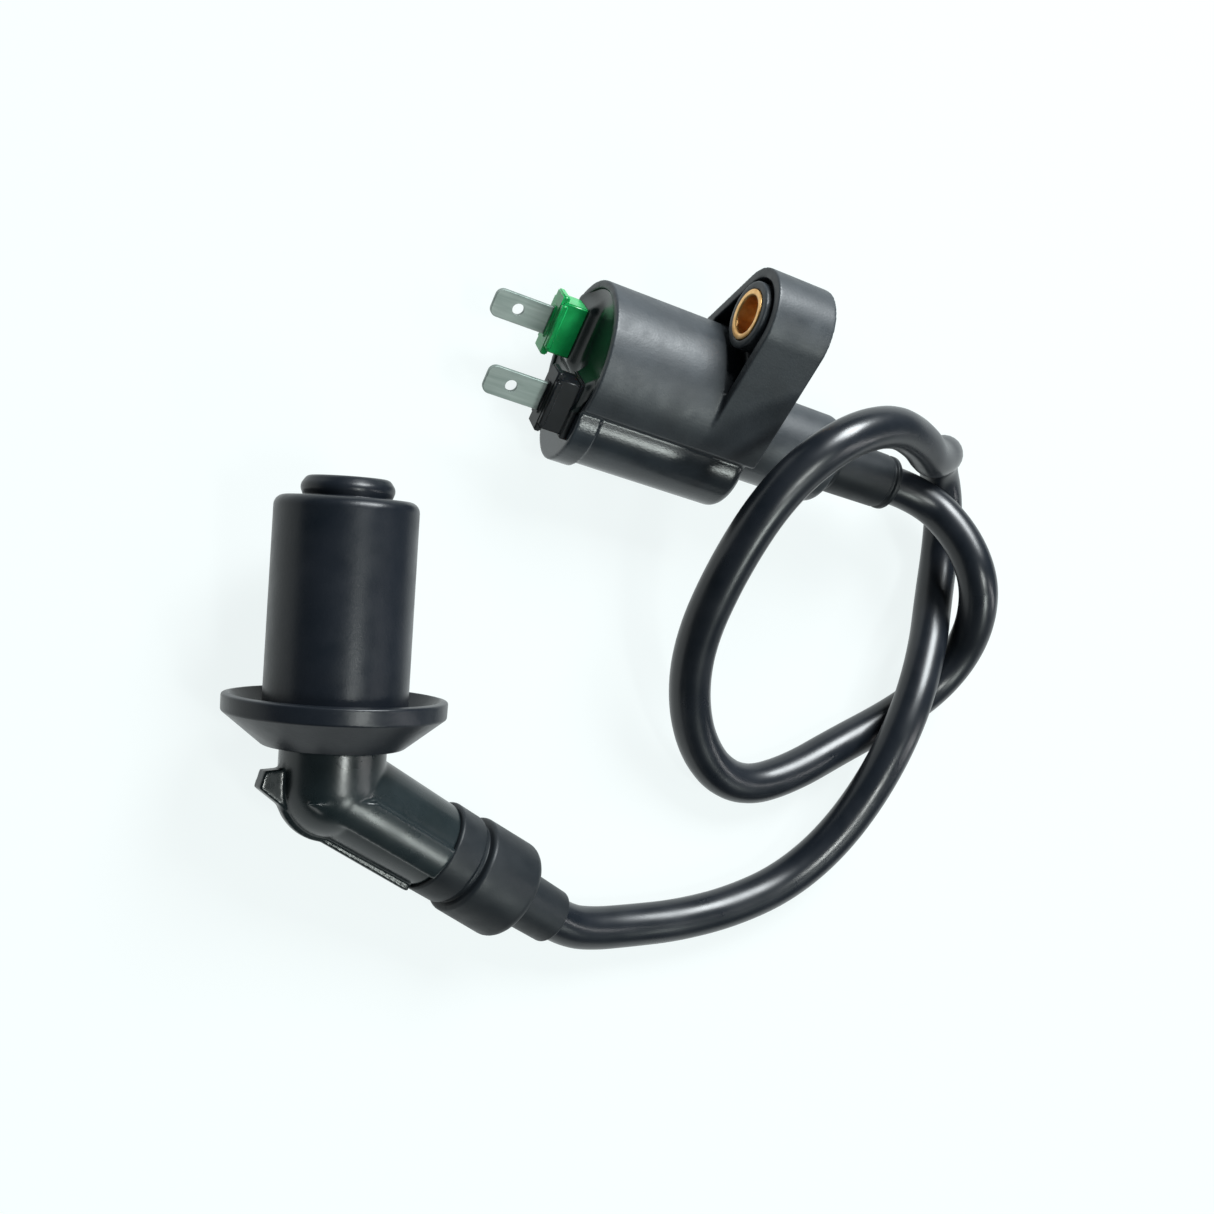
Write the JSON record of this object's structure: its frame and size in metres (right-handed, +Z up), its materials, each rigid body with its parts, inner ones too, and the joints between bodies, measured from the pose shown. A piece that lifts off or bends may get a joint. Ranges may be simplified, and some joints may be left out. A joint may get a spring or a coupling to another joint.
{
  "type": "ignition coil",
  "caption": "Cylindrical black ignition coil with spade terminals, a bushed mounting ear and a knotted lead to an angled plug cap.",
  "frame": {"origin": "on the surface the assembly lies on, under the middle of the coil without its lead and cap", "axes": "+X along the coil's axis from the lead outlet to the spade terminals, +Z up from the surface"},
  "size_m": [0.1357, 0.1114, 0.0386],
  "materials": {
    "housing": "satin, fine moulded grain",
    "resin": "gloss, self-levelled resin",
    "blade": "dull tin plate",
    "green": "semi-gloss",
    "black": "semi-gloss",
    "brass": "machined, a little dull",
    "iron": "oiled sheet",
    "bobbin": "natural moulding",
    "copper": "enamelled wire",
    "steel": "bright",
    "lead": "gloss sheath",
    "boot": "matte",
    "seal": "matte",
    "cap": "gloss moulding",
    "ceramic": "glazed rod"
  },
  "bodies": {
    "root": {"coil_housing": "housing", "potting_resin": "resin", "signal_terminal": "blade", "ground_terminal": "blade", "green_collar": "green", "black_collar": "black", "mount_bush": "brass", "core_laminations": "iron", "primary_bobbin": "bobbin", "primary_winding": "copper", "secondary_bobbin": "bobbin", "secondary_winding": "copper", "ht_pin": "brass", "ht_contact_strip": "brass", "lead_gland": "housing", "lead_end_in_coil": "lead", "ht_lead": "lead", "lead_end_in_cap": "lead", "cap_elbow": "cap", "lead_screw": "brass", "lead_seal": "seal", "plug_boot": "boot", "plug_socket": "brass", "snap_ring": "steel", "resistor": "ceramic", "contact_spring": "steel"}
  },
  "joints": []
}
